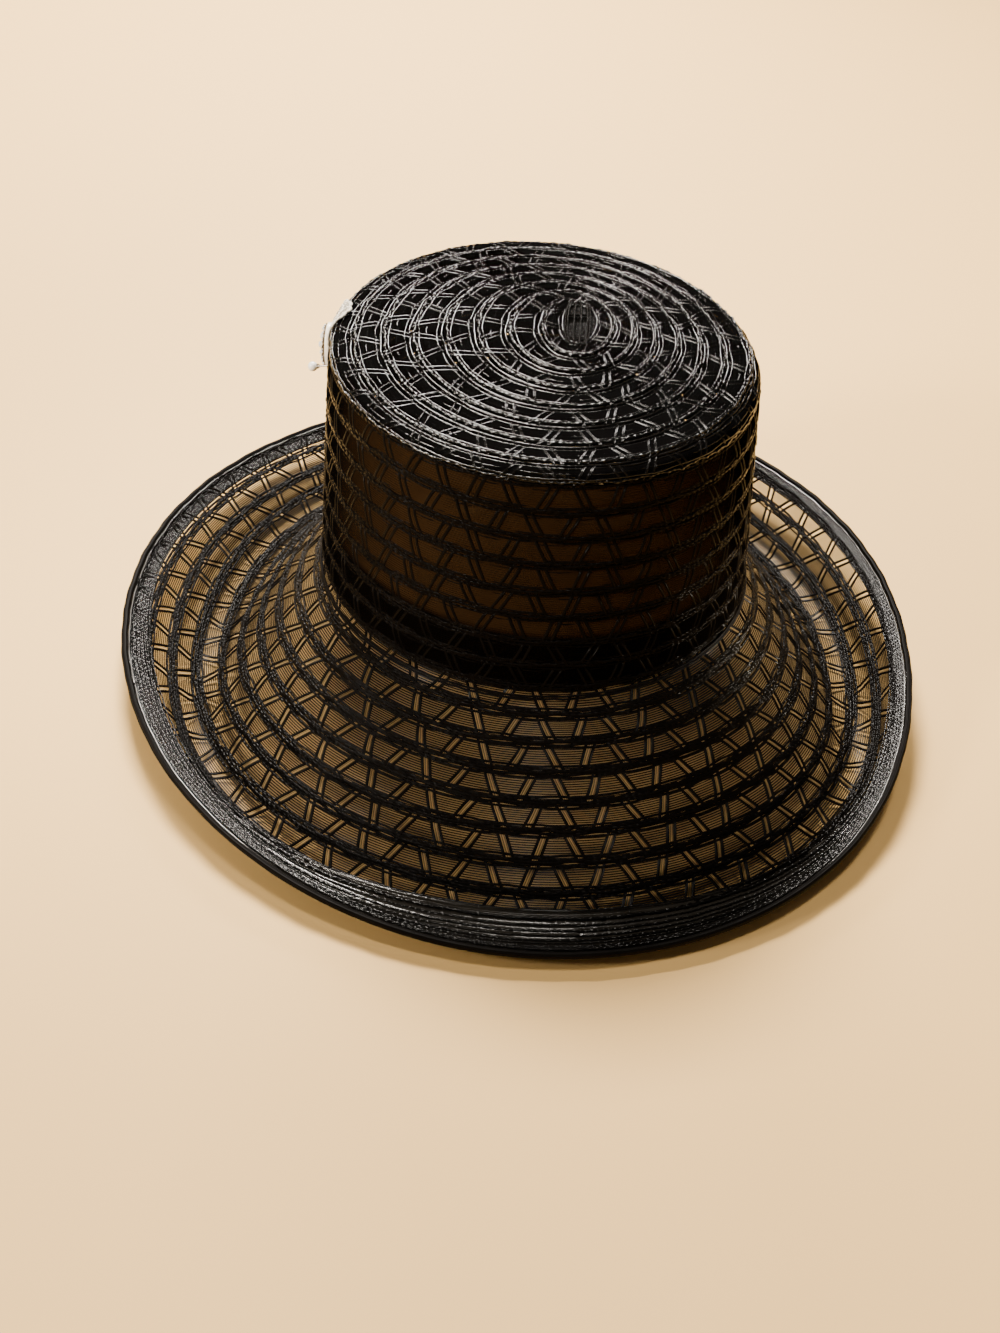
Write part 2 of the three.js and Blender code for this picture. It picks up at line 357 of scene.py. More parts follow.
class BraidSizes(PropertyGroup):
    rib_spacing: length_value("Rib spacing", "From one rib to the next along the braid", 12.4, min=0.004)
    rib_lean: angle_value("Rib lean", "How far each rib leans, one way and then the other", 25)
    rib_width: length_value("Rib width", "Between the two threads of a rib", 3.0)
    thread_width: length_value("Thread width", "Width of each thread of a rib", 1.35)
    cord_radius: length_value("Cord radius", "Radius of the cords along the edges of the braid", 0.52)
    stitch_length: length_value("Stitch length", "Length of one stitch of the chain along a seam", 3.2)
    film_thickness: length_value("Film thickness", "Thickness of the fine threads in the windows", 0.22)
    film_threads: number_value(
        "Film threads", "Fine threads side by side across one row of the braid", 12.0, 1, FloatProperty)
    straw_color: color_value("Straw colour", "Colour of the glossy black straw", (0.0022, 0.0018, 0.0015))


class EdgeSizes(PropertyGroup):
    hem_width: length_value("Hem width", "Width of the doubled row along the brim's edge", 10.0)
    front_hem_width: length_value(
        "Hem width in front", "Width of the doubled row in front, where the last row tapers off", 25.0)
    hem_cords: number_value("Hem cords", "Cords laid side by side in the hem", 11, 2)
    binding_radius: length_value("Binding radius", "Radius of the cord that binds the very edge", 1.4)


class BandSizes(PropertyGroup):
    above: length_value("Above the foot", "From the foot of the crown to the lower edge of the ribbon", 1)
    height: length_value("Band height", "Height of the ribbon inside the crown's foot", 31)
    thickness: length_value("Band thickness", "Thickness of the ribbon", 1)
    ribs: number_value("Band ribs", "Fine ribs across the height of the ribbon", 20, 2)


class LeafSizes(PropertyGroup):
    direction: angle_value("Direction", "Where the middle of the leaf is round the crown", 174)
    height: length_value("Height", "Height of the leaf's middle above the table", 133.5)
    off: length_value("Off the crown", "From the crown's outer face to the middle of the leaf", 1.1)
    length: length_value("Length", "Length of the leaf", 26)
    width: length_value("Width", "Width of the leaf", 19)
    slant: angle_value("Slant", "How far the leaf leans off the level", -3)
    scallops: number_value("Scallops", "Scallops round the leaf's edge", 14, 3)
    color: color_value("Lace colour", "Colour of the ivory lace", (0.80, 0.75, 0.66))


class BroochSizes(PropertyGroup):
    direction: angle_value("Direction", "Where the brooch is round the crown", 172.5)
    height: length_value("Height", "Height of the brooch's middle above the table", 122.5)
    off: length_value("Off the crown", "From the crown's outer face to the back of the plate", 2.3)
    lean: angle_value("Lean", "How far the plate faces up", -2)
    swing: angle_value("Swing", "How far the brooch turns to the front", 4)
    width: length_value("Width", "Width of the plate along the crown", 14.5)
    length: length_value("Length", "Length of the plate up the crown", 18.5)
    plate_thickness: length_value("Plate thickness", "Thickness of the white plate", 1.6)
    plate_color: color_value("Plate colour", "Colour of the white enamel", (0.95, 0.90, 0.80))


class PinSizes(PropertyGroup):
    direction: angle_value("Direction", "Where the pin comes out of the crown", 179)
    height: length_value("Height", "Height of the place where the pin comes out", 119.6)
    dip: angle_value("Dip", "How far the pin points down", 16)
    swing: angle_value("Swing", "How far the pin points round the crown", -14)
    length: length_value("Length", "Length of the stem outside the crown", 5.6)
    radius: length_value("Radius", "Radius of the stem", 0.35)
    pearl_radius: length_value("Pearl radius", "Radius of the pearl", 1.9)


class StageSizes(PropertyGroup):
    floor_size: length_value("Floor size", "Side of the square floor", 9000)
    floor_color: color_value("Floor colour", "Colour of the plain floor", (0.93, 0.58, 0.20))
    lens: number_value("Lens", "Focal length for a 36 mm side", 42.567, 1, FloatProperty)


# Meshes

SEWN_WITHIN = 0.004 * MM  # points of a seam this near each other become one


def new_object(name, mesh):
    mesh.name = name
    piece = bpy.data.objects.new(name, mesh)
    bpy.context.scene.collection.objects.link(piece)
    return piece


def mesh_from(bm):
    mesh = bpy.data.meshes.new("mesh")
    bm.to_mesh(mesh)
    bm.free()
    return mesh


def opened(mesh):
    """Bmesh of a mesh, which is used up"""
    bm = bmesh.new()
    bm.from_mesh(mesh)
    bpy.data.meshes.remove(mesh)
    return bm


def coordinates(mesh):
    values = np.empty(len(mesh.vertices) * 3, dtype=np.float64)
    mesh.vertices.foreach_get("co", values)
    return values.reshape(-1, 3)


def set_coordinates(mesh, values):
    mesh.vertices.foreach_set("co", np.ascontiguousarray(values, dtype=np.float32).ravel())
    mesh.update()


def set_uv(mesh, values, name="BraidUV"):
    """UV of every corner from values for each vertex"""
    layer = mesh.uv_layers.get(name) or mesh.uv_layers.new(name=name)
    corners = np.empty(len(mesh.loops), dtype=np.int32)
    mesh.loops.foreach_get("vertex_index", corners)
    layer.data.foreach_set("uv", np.ascontiguousarray(values[corners], dtype=np.float32).ravel())


def note_uv(bm, verts, place):
    """UV of the corners at some vertices, from where each vertex is now"""
    layer = bm.loops.layers.uv.get("BraidUV") or bm.loops.layers.uv.new("BraidUV")
    for vert in verts:
        for corner in vert.link_loops:
            corner[layer].uv = place(vert.co)


def arrayed(mesh, count, step):
    """Mesh of count copies in a row along X"""
    source = new_object("unit", mesh)
    array = source.modifiers.new("Row", "ARRAY")
    array.count = count
    array.use_relative_offset = False
    array.use_constant_offset = True
    array.constant_offset_displace = (step, 0, 0)
    evaluated = source.evaluated_get(bpy.context.evaluated_depsgraph_get())
    result = bpy.data.meshes.new_from_object(evaluated)
    bpy.data.objects.remove(source)
    bpy.data.meshes.remove(mesh)
    return result


def finish_piece(name, mesh, material, nodes=(), smooth=40):
    """Makes a closed mesh a piece of the hat, with faces turned outward and smooth up to an angle"""
    bm = opened(mesh)
    bmesh.ops.recalc_face_normals(bm, faces=bm.faces)
    mesh = mesh_from(bm)
    mesh.materials.append(material)
    mesh.shade_smooth()
    mesh.set_sharp_from_angle(angle=math.radians(smooth))
    piece = new_object(name, mesh)
    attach(piece, "root")
    if nodes:
        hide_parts(*nodes)


def sheet_patch(bm, corners, cells, thickness, threads_along=False):
    """Closed thin plate between four corners, given low left, low right, high right and high left"""
    low_left, low_right, high_right, high_left = corners
    grid = bmesh.ops.create_grid(bm, x_segments=cells[0], y_segments=cells[1], size=0.5)
    verts = grid["verts"]
    faces = list({face for vert in verts for face in vert.link_faces})
    extruded = bmesh.ops.extrude_face_region(bm, geom=faces, use_keep_orig=True)
    raised = [item for item in extruded["geom"] if isinstance(item, bmesh.types.BMVert)]
    if threads_along:
        note_uv(bm, verts + raised, lambda co: (co.y + 0.5, 0.27 * (co.x + 0.5)))
    else:
        note_uv(bm, verts + raised, lambda co: (co.x + 0.5, co.y + 0.5))
    for vert in verts + raised:
        across, along = vert.co.x + 0.5, vert.co.y + 0.5
        low = low_left.lerp(low_right, across)
        vert.co = low.lerp(high_left.lerp(high_right, across), along)
    bmesh.ops.translate(bm, verts=raised, vec=(0, 0, thickness))


def strand(bm, start, end, half_width, half_height, sides=6, cuts=2):
    """Closed thread between two flat points, with its section in the X-Z plane"""
    others = len(bm.verts)
    made = bmesh.ops.create_cone(
        bm, cap_ends=True, segments=sides, radius1=1, radius2=1, depth=1)
    long_edges = [edge for edge in {e for v in made["verts"] for e in v.link_edges}
                  if abs(edge.verts[0].co.z - edge.verts[1].co.z) > 0.5]
    bmesh.ops.subdivide_edges(bm, edges=long_edges, cuts=cuts)
    verts = list(bm.verts)[others:]
    note_uv(bm, verts, lambda co: (co.z + 0.5, 0.5 + 0.5 * co.x))
    for vert in verts:
        middle = start.lerp(end, vert.co.z + 0.5)
        vert.co = middle + Vector((vert.co.x * half_width, 0, -vert.co.y * half_height))


def swell(flat, height):
    """Lift of a window's film, highest in the middle of the row"""
    return height * (1 - ((flat[:, 1] - 0.5) / 0.5) ** 2)


def rolled_strip(steps, sides):
    """Flat strip that is rolled into a tube later: its length in X and the turn round it in Y, both 0 to 1"""
    bm = bmesh.new()
    grid = bmesh.ops.create_grid(bm, x_segments=steps, y_segments=sides, size=0.5)
    bmesh.ops.translate(bm, verts=grid["verts"], vec=(0.5, 0.5, 0))
    return mesh_from(bm)


def close_tube(mesh, sides):
    """Sews the seam along a rolled strip and caps its open ends"""
    bm = opened(mesh)
    bmesh.ops.remove_doubles(bm, verts=bm.verts, dist=SEWN_WITHIN)
    bmesh.ops.holes_fill(bm, edges=[edge for edge in bm.edges if edge.is_boundary], sides=sides)
    return mesh_from(bm)


def joined(meshes):
    """One mesh from several"""
    bm = bmesh.new()
    for mesh in meshes:
        bm.from_mesh(mesh)
        bpy.data.meshes.remove(mesh)
    return mesh_from(bm)


def stitch_shape(phase):
    """Thickness of a chain of stitches, one to each whole number, as a share of the full one"""
    return 0.58 + 0.42 * np.abs(np.sin(math.pi * phase)) ** 0.7


def ring_cord(rows, lift, radius, sides=8, steps=480, stitches=0):
    """Closed cord round the hat at some rows from the block, as a function of direction"""
    mesh = rolled_strip(steps, sides)
    rolled = coordinates(mesh)
    angle = rolled[:, 0] * TAU
    around = rolled[:, 1] * TAU
    set_uv(mesh, np.stack((rolled[:, 0] * 100, rolled[:, 1]), axis=-1))
    size = np.full(len(rolled), radius)
    if stitches:
        size = size * stitch_shape(rolled[:, 0] * stitches)
    wander = 0.12 * MM * np.sin(31 * angle) + 0.1 * MM * np.sin(77 * angle + 2)
    across = rows(angle) + (wander + size * np.cos(around)) / ROW_PITCH
    height = lift(angle) if callable(lift) else lift
    set_coordinates(mesh, hat_place(across, angle, height + size * np.sin(around)))
    return close_tube(mesh, sides)


def flat_tube(path, radius, place, sides=6, steps=24):
    """Cord along a flat path that is then laid in place. The path gives X and Y for shares of its length."""
    mesh = rolled_strip(steps, sides)
    rolled = coordinates(mesh)
    share = rolled[:, 0]
    around = rolled[:, 1] * TAU
    set_uv(mesh, np.stack((share * 8, rolled[:, 1]), axis=-1))
    middle = path(share)
    ahead = path(share + 0.001) - path(share - 0.001)
    ahead /= np.linalg.norm(ahead, axis=-1, keepdims=True)
    beside = np.stack((-ahead[:, 1], ahead[:, 0]), axis=-1)
    flat = middle + beside * (radius * np.cos(around))[:, None]
    set_coordinates(mesh, place(flat[:, 0], flat[:, 1], radius * np.sin(around)))
    return close_tube(mesh, sides)


def flat_disc(outline, place, thickness, rings=6, steps=64):
    """Closed plate inside a flat outline, laid in place, with its lower face where place puts it"""
    mesh = rolled_strip(steps, rings)
    rolled = coordinates(mesh)
    flat = outline(rolled[:, 0]) * rolled[:, 1:2]
    set_uv(mesh, flat / MM)
    set_coordinates(mesh, place(flat[:, 0], flat[:, 1], np.zeros(len(flat))))
    bm = opened(mesh)
    bmesh.ops.remove_doubles(bm, verts=bm.verts, dist=SEWN_WITHIN)
    bmesh.ops.recalc_face_normals(bm, faces=bm.faces)
    bmesh.ops.solidify(bm, geom=list(bm.faces), thickness=thickness)
    return mesh_from(bm)


# Operators that lay the braid


class HAT_OT_windows(Operator):
    """Films of fine threads between the ribs of the braid, on the tip, the side and the brim"""

    bl_idname = "hat.windows"
    bl_label = "Windows"
    bl_options = {"REGISTER", "UNDO"}

    def execute(self, context):
        sizes = context.scene.hat_braid
        for zone in ZONES:
            windows = repeated(zone, flat_window, sizes)
            film = film_material(zone.name + "_film", sizes, zone, zone.window_cover)
            finish_piece(zone.name + "_windows", windows, film, zone.nodes)
            slits = repeated(zone, flat_slit, sizes)
            film = film_material(zone.name + "_slit_film", sizes, zone, zone.slit_cover)
            finish_piece(zone.name + "_slits", slits, film)
        return {"FINISHED"}


# Share across a row where its windows begin and end
WINDOW_LOW = 0.03
WINDOW_HIGH = 0.98


def repeated(zone, add_shape, sizes, lift=0.0):
    """Pairs of shapes, one leaning each way, laid on the hat all along a zone"""
    start, length = zone_length(zone)
    pairs = round(length / (2 * sizes.rib_spacing))
    spacing = length / (2 * pairs)
    bm = bmesh.new()
    for index, lean in ((0, 1), (1, -1)):
        add_shape(bm, start + index * spacing, spacing, lean, sizes)
    mesh = arrayed(mesh_from(bm), pairs, 2 * spacing)
    flat = coordinates(mesh)
    flat[:, 2] += swell(flat, zone.swell) + lift
    set_coordinates(mesh, ROUTE.lay(flat))
    return mesh


def zone_length(zone):
    """Where a zone starts along the braid and how long it is"""
    start = ROUTE.length_at(zone.start)
    return start, ROUTE.length_at(zone.end) - start


def braid_corner(x, share, lean, sizes):
    slant = lean * math.tan(sizes.rib_lean) * ROW_PITCH
    return Vector((x + slant * (share - 0.5), share, 0))


def flat_window(bm, offset, spacing, lean, sizes):
    """Window between a rib at the offset and the next, which leans the other way"""
    gap = sizes.rib_width / 2
    corners = film_corners((offset + gap, lean), (offset + spacing - gap, -lean), sizes)
    sheet_patch(bm, corners, (4, 3), sizes.film_thickness)


def film_corners(left, right, sizes):
    """Corners of a film between two sides, each with its place along the braid and its lean"""
    return [
        braid_corner(side[0], share, side[1], sizes)
        for side, share in ((left, WINDOW_LOW), (right, WINDOW_LOW), (right, WINDOW_HIGH), (left, WINDOW_HIGH))
    ]


def flat_slit(bm, offset, spacing, lean, sizes):
    """Open film with a few threads along the rib, between the rib's two threads"""
    gap = sizes.rib_width / 2
    corners = film_corners((offset - gap, lean), (offset + gap, lean), sizes)
    sheet_patch(bm, corners, (1, 3), sizes.film_thickness, threads_along=True)


class HAT_OT_ribs(Operator):
    """Pairs of threads that zigzag across the braid, with a slit between them"""

    bl_idname = "hat.ribs"
    bl_label = "Ribs"
    bl_options = {"REGISTER", "UNDO"}

    def execute(self, context):
        sizes = context.scene.hat_braid
        for zone in ZONES:
            ribs = repeated(zone, flat_rib, sizes, 0.6 * sizes.film_thickness)
            finish_piece(zone.name + "_ribs", ribs, rib_material(sizes, zone.name), smooth=70)
        return {"FINISHED"}


def flat_rib(bm, offset, spacing, lean, sizes):
    """Two threads side by side that lean the same way"""
    for side in (-0.5, 0.5):
        x = offset + side * sizes.rib_width
        low = braid_corner(x, 0.0, lean, sizes)
        high = braid_corner(x, 1.0, lean, sizes)
        strand(bm, low, high, sizes.thread_width / 2, 0.32 * sizes.thread_width)


class CordLine(NamedTuple):
    """Cord along the braid: share across the row, lift over the film in mm, share of the full radius"""

    across: float
    lift: float
    size: float


SEAM_LINES = {
    "crown_tip": ((0.04, 0.45, 0.95), (0.2, 0.35, 0.6), (0.5, 0.3, 0.45), (0.76, 0.4, 0.8)),
    "crown_side": (
        (0.05, 0.4, 1.1), (0.14, 0.3, 1.0), (0.225, 0.25, 0.85),
        (0.705, 0.25, 0.85), (0.79, 0.3, 1.0), (0.97, 0.25, 1.1),
    ),
    "brim": ((0.05, 0.45, 1.15), (0.15, 0.4, 0.9), (0.78, 0.3, 0.9), (0.97, 0.25, 1.2)),
}
CHAIN_LINE = (0.885, 0.45, 1.2)
CORD_STEP = 3.5 * MM
CORD_SIDES = 6


class HAT_OT_cords(Operator):
    """Smooth cords and a chain of stitches along the edges of the braid, which lap where two rows are sewn"""

    bl_idname = "hat.cords"
    bl_label = "Cords"
    bl_options = {"REGISTER", "UNDO"}

    def execute(self, context):
        sizes = context.scene.hat_braid
        for zone in ZONES:
            start, length = zone_length(zone)
            steps = round(length / CORD_STEP)
            cords = joined([
                seam_cord(start, length, steps, CordLine(*line), sizes.cord_radius)
                for line in SEAM_LINES[zone.name]
            ])
            finish_piece(zone.name + "_cords", cords, cord_material(sizes, zone.name), smooth=90)
            stitches = round(length / sizes.stitch_length)
            chain = seam_cord(start, length, 4 * stitches, CordLine(*CHAIN_LINE), sizes.cord_radius, stitches)
            finish_piece(zone.name + "_stitches", chain, stitch_material(sizes, zone.name), smooth=90)
        return {"FINISHED"}


def seam_cord(start, length, steps, line, full_radius, stitches=0):
    """Cord of the braid, laid on the hat, even or pinched between its stitches"""
    mesh = rolled_strip(steps, CORD_SIDES)
    rolled = coordinates(mesh)
    along = start + rolled[:, 0] * length
    around = rolled[:, 1] * TAU
    set_uv(mesh, np.stack((along / ROW_PITCH, rolled[:, 1]), axis=-1))
    radius = np.full(len(along), full_radius * line.size)
    phase = 30 * line.across
    wander = 0.24 * MM * np.sin(TAU * along / 0.023 + phase)
    wander += 0.12 * MM * np.sin(TAU * along / 0.0131 + 2 * phase)
    if stitches:
        turn = rolled[:, 0] * stitches
        radius = radius * stitch_shape(turn)
        wander = wander + 0.2 * MM * np.sin(math.pi * turn)
    flat = np.stack((
        along,
        line.across + (wander + radius * np.cos(around)) / ROW_PITCH,
        line.lift * MM + 0.5 * wander + radius * np.sin(around),
    ), axis=-1)
    set_coordinates(mesh, ROUTE.lay(flat))
    return close_tube(mesh, CORD_SIDES)


BLOCK_CORDS = (-4.9, -3.9, -1.4, 1.2, 3.8, 4.8)  # across the block, in mm
BLOCK_RIBS = (-14.6, -13.2, 4.2, 6.4)  # along the block, in mm


class HAT_OT_block(Operator):
    """Straight start of the braid in the middle of the tip, with its end folded under"""

    bl_idname = "hat.block"
    bl_label = "Start of the braid"
    bl_options = {"REGISTER", "UNDO"}

    def execute(self, context):
        sizes = context.scene.hat_braid
        half_width, half_length = BLOCK.half_width + 2.2 * MM, BLOCK.half_length + 2.0 * MM

        def outline(share):
            return np.stack((half_width * np.cos(share * TAU), half_length * np.sin(share * TAU)), axis=-1)

        film = flat_disc(outline, on_tip(-1.1 * MM), 0.25 * MM, rings=4, steps=48)
        set_uv(film, coordinates(film)[:, [1, 0]] / ROW_PITCH)
        finish_piece("block_film", film, dense_film_material())
        place = on_tip(-0.35 * MM)
        cords = [
            flat_tube(block_side(x * MM, half_length), sizes.cord_radius, place, steps=30) for x in BLOCK_CORDS]
        cords += [flat_tube(block_rib(y * MM), 0.45 * MM, place, steps=8) for y in BLOCK_RIBS]
        straw = bpy.data.materials.get("straw_cord") or cord_material(sizes, "")
        finish_piece("block_cords", joined(cords), straw, smooth=90)
        return {"FINISHED"}


def on_tip(raised):
    """Places flat points round the middle of the block on the tip"""

    def place(x, y, lift):
        point = tip_point(BLOCK.x + x, BLOCK.y + y)
        point[..., 2] += raised + lift
        return point

    return place


def block_side(x, half_length):
    """Slightly bent path along a side of the block"""

    def path(share):
        along = (2 * share - 1) * half_length
        narrowing = 1 - 0.35 * np.abs(2 * share - 1) ** 3
        return np.stack((x * narrowing, along), axis=-1)

    return path


def block_rib(y):
    """Leaning path across the block"""

    def path(share):
        return np.stack(((share - 0.5) * 9 * MM, y + (share - 0.5) * 2 * MM), axis=-1)

    return path


# Operators for the edge of the brim and the foot of the crown

HEM_FILM_LIFT = -1.45 * MM
HEM_CORD_LIFTS = (-0.35 * MM, -0.6 * MM)  # of every other cord
HEM_FRONT_RISE = 1.75 * MM
HEM_CORD_RADIUS = 0.3 * MM
HEM_STITCH_RADIUS = 0.62 * MM


class HAT_OT_hem(Operator):
    """Doubled row along the brim's edge, widest in front: dense film with cords and stitches on it"""

    bl_idname = "hat.hem"
    bl_label = "Hem"
    bl_options = {"REGISTER", "UNDO"}

    def execute(self, context):
        sizes = context.scene.hat_edge
        braid = context.scene.hat_braid
        outer = 2 * sizes.binding_radius - 0.4 * MM
        film = rolled_strip(480, 8)
        rolled = coordinates(film)
        angle = rolled[:, 0] * TAU
        set_uv(film, np.stack((rolled[:, 0] * 100, rolled[:, 1]), axis=-1))
        around = rolled[:, 1] * TAU
        inner = hem_reach(sizes, angle)
        middle, half = (inner + outer) / 2, (inner - outer) / 2
        rows = edge_rows(angle) - (middle - half * np.cos(around)) / ROW_PITCH
        lift = hem_lift(angle, HEM_FILM_LIFT) + 0.16 * MM * np.sin(around)
        set_coordinates(film, hat_place(rows, angle, lift))
        finish_piece("hem_film", close_tube(film, 8), hem_film_material())
        cords = []
        stitched = []
        for index in range(sizes.hem_cords):
            def rows_at(angle, share=index / (sizes.hem_cords - 1)):
                offset = mix(hem_reach(sizes, angle) - 0.3 * MM, outer + 1.1 * MM, share ** 0.85)
                return edge_rows(angle) - offset / ROW_PITCH

            def lift_at(angle, low=HEM_CORD_LIFTS[index % 2]):
                return hem_lift(angle, low)

            if index % 2:
                stitches = 300 - 14 * index
                stitched.append(ring_cord(rows_at, lift_at, HEM_STITCH_RADIUS, 6, 4 * stitches, stitches))
            else:
                cords.append(ring_cord(rows_at, lift_at, HEM_CORD_RADIUS, 6, 480))
        finish_piece("hem_cords", joined(cords), cord_material(braid, "hem"), smooth=90)
        finish_piece("hem_stitches", joined(stitched), stitch_material(braid, "hem"), smooth=90)
        return {"FINISHED"}


def front_share(angle):
    """How far a direction is in front: 1 in front, 0 on the sides and at the back"""
    return np.clip(-np.sin(angle), 0, 1) ** 1.3


def hem_reach(sizes, angle):
    return mix(sizes.hem_width, sizes.front_hem_width, front_share(angle))


def hem_lift(angle, low):
    """Height over the braid: under it at the back, on it in front"""
    return low + HEM_FRONT_RISE * front_share(angle)


class HAT_OT_binding(Operator):
    """Smooth cord that binds the very edge of the brim, and the bright thread inside it"""

    bl_idname = "hat.binding"
    bl_label = "Binding"
    bl_options = {"REGISTER", "UNDO"}

    def execute(self, context):
        sizes = context.scene.hat_edge
        braid = context.scene.hat_braid
        radius = sizes.binding_radius

        def edge_at(angle):
            return edge_rows(angle) - (radius + 0.15 * MM) / ROW_PITCH

        def thread_at(angle):
            return edge_rows(angle) - (2 * radius + 0.35 * MM) / ROW_PITCH

        binding = ring_cord(edge_at, -WALL / 2, radius - 0.1 * MM, 12, 480)
        finish_piece("binding", binding, binding_material(braid), ("brim_edge",), 90)
        thread = ring_cord(thread_at, 0.1 * MM, 0.3 * MM, 6, 480)
        finish_piece("binding_thread", thread, thread_material(), smooth=90)
        return {"FINISHED"}


class HAT_OT_band(Operator):
    """Ribbed ribbon inside the foot of the crown"""

    bl_idname = "hat.band"
    bl_label = "Head band"
    bl_options = {"REGISTER", "UNDO"}

    def execute(self, context):
        sizes = context.scene.hat_band
        profile = 4 * sizes.ribs
        mesh = rolled_strip(144, 2 * profile)
        rolled = coordinates(mesh)
        angle = rolled[:, 0] * TAU
        turn = rolled[:, 1] * 2 % 2
        outside = turn < 1
        climb = np.where(outside, turn, 2 - turn)
        level = (sizes.above + climb * sizes.height) / (TOP.height - FOOT.height)
        ridge = 0.16 * MM * np.abs(np.sin(climb * sizes.ribs * math.pi))
        face = np.where(outside, ridge, -sizes.thickness + 0.32 * MM - ridge)
        set_uv(mesh, np.stack((rolled[:, 0] * 400, climb * sizes.ribs), axis=-1))
        set_coordinates(mesh, crown_point(angle, level, -WALL - GAP - 0.16 * MM + face))
        finish_piece("ribbon_band", close_tube(mesh, 8), band_material(), ("head_band",), 50)
        return {"FINISHED"}


class HAT_OT_foot_cord(Operator):
    """Smooth thread where the crown meets the brim"""

    bl_idname = "hat.foot_cord"
    bl_label = "Foot cord"
    bl_options = {"REGISTER", "UNDO"}

    def execute(self, context):
        def foot_at(angle):
            return np.full(len(angle), FOOT_ROWS - 0.05)

        def second_at(angle):
            return np.full(len(angle), FOOT_ROWS + 0.06)

        cords = joined([
            ring_cord(foot_at, 0.2 * MM, 0.55 * MM, 8, 360),
            ring_cord(second_at, 0.05 * MM, 0.5 * MM, 8, 360),
        ])
        black = bpy.data.materials.get("black_binding") or binding_material(context.scene.hat_braid)
        finish_piece("foot_cord", cords, black, smooth=90)
        return {"FINISHED"}


# Operators for the ornament


def on_leaf(sizes, raised):
    """Places flat points of the leaf on the crown's side and over the rounded edge of its tip"""

    def place(along, across, lift):
        round_ = along * math.cos(sizes.slant) - across * math.sin(sizes.slant)
        height = sizes.height + along * math.sin(sizes.slant) + across * math.cos(sizes.slant)
        angle = sizes.direction + round_ / FOOT.half_width
        return wrapped_point(angle, height, sizes.off + raised + lift)

    return place


def leaf_outline(sizes, inset=0.0):
    """Scalloped outline of the leaf as a path, set in by a distance"""

    def path(share):
        turn = share * TAU
        scallop = 1 - 0.07 * (1 - np.abs(np.sin(sizes.scallops / 2 * turn)))
        along = (0.5 * sizes.length - inset) * scallop * np.cos(turn)
        across = (0.5 * sizes.width - inset) * scallop * np.sin(turn) * (1 - 0.25 * np.cos(turn) ** 2)
        return np.stack((along, across), axis=-1)

    return path


def straight_path(start, end, bow=0.0):
    """Path between two flat points that bows to one side"""
    start, end = np.array(start), np.array(end)
    beside = np.array((start[1] - end[1], end[0] - start[0]))

    def path(share):
        share = share[:, None]
        return mix(start, end, share) + 4 * bow * share * (1 - share) * beside

    return path


def circle_path(x, y, radius):
    def path(share):
        return np.stack((x + radius * np.cos(share * TAU), y + radius * np.sin(share * TAU)), axis=-1)

    return path


class HAT_OT_leaf(Operator):
    """Scalloped lace leaf on the crown's side: a net, a corded outline, veins and eyelets"""

    bl_idname = "hat.leaf"
    bl_label = "Lace leaf"
    bl_options = {"REGISTER", "UNDO"}

    def execute(self, context):
        sizes = context.scene.hat_leaf
        place = on_leaf(sizes, -0.15 * MM)
        net = flat_disc(leaf_outline(sizes, 0.4 * MM), on_leaf(sizes, -0.3 * MM), 0.3 * MM, 6, 112)
        finish_piece("lace_net", net, net_material(sizes), ("lace_leaf",))
        tip_x = 0.5 * sizes.length
        cords = [
            flat_tube(leaf_outline(sizes, 0.45 * MM), 0.45 * MM, place, 8, 168),
            flat_tube(leaf_outline(sizes, 3.0 * MM), 0.32 * MM, place, 6, 112),
            flat_tube(straight_path((-0.92 * tip_x, 0), (0.92 * tip_x, 0)), 0.4 * MM, place, 8, 28),
        ]
        for index in range(5):
            root = mix(-0.72, 0.5, index / 4) * tip_x
            reach = 0.30 * sizes.width * (1 - 0.12 * abs(index - 2))
            for side in (-1, 1):
                path = straight_path((root, 0), (root + 4.2 * MM, side * reach), -0.12 * side)
                cords.append(flat_tube(path, 0.28 * MM, place, 6, 10))
        outline = leaf_outline(sizes, 1.75 * MM)
        for index in range(sizes.scallops):
            middle = outline(np.array([(index + 0.5) / sizes.scallops]))[0]
            cords.append(flat_tube(circle_path(*middle, 0.85 * MM), 0.2 * MM, place, 6, 14))
        finish_piece("lace_cords", joined(cords), lace_material(sizes), smooth=80)
        return {"FINISHED"}


def on_crown(direction, height, off, lean=0.0, swing=0.0):
    """Matrix whose Z axis points away from the crown and whose Y axis points down along it"""
    angle = np.array(direction)
    point = crown_point(angle, crown_level(angle, height), off)
    outward = outward_at(angle)
    yaw = math.atan2(outward[1], outward[0]) - math.pi / 2 + swing
    turned = Matrix.Rotation(yaw, 4, "Z") @ Matrix.Rotation(lean, 4, "X")
    return Matrix.Translation(Vector(point)) @ turned @ Matrix.Rotation(-math.pi / 2, 4, "X")


def bevelled_disc(bm, radius, low, high, segments=48, bevel=0.3 * MM, top=1.0):
    """Turned disc between two heights with its upper edge bevelled, and how wide its top is"""
    made = bmesh.ops.create_cone(
        bm, cap_ends=True, segments=segments, radius1=radius, radius2=radius * top, depth=high - low)
    verts = made["verts"]
    bmesh.ops.translate(bm, verts=verts, vec=(0, 0, (low + high) / 2))
    if bevel:
        rim = {edge for vert in verts for edge in vert.link_edges
               if min(end.co.z for end in edge.verts) > high - 1e-6}
        result = bmesh.ops.bevel(
            bm, geom=list(rim), offset=bevel, segments=3, profile=0.5, affect="EDGES", material=-1)
        verts = list({*result["verts"], *(vert for vert in verts if vert.is_valid)})
    return verts


BEADS = 44  # round the rim of the plate
# Rings of stones: how many, share of the plate's radius, height in mm and size in mm
STONE_RINGS = ((8, 0.48, 1.35, 1.35), (13, 0.79, 0.75, 1.25))


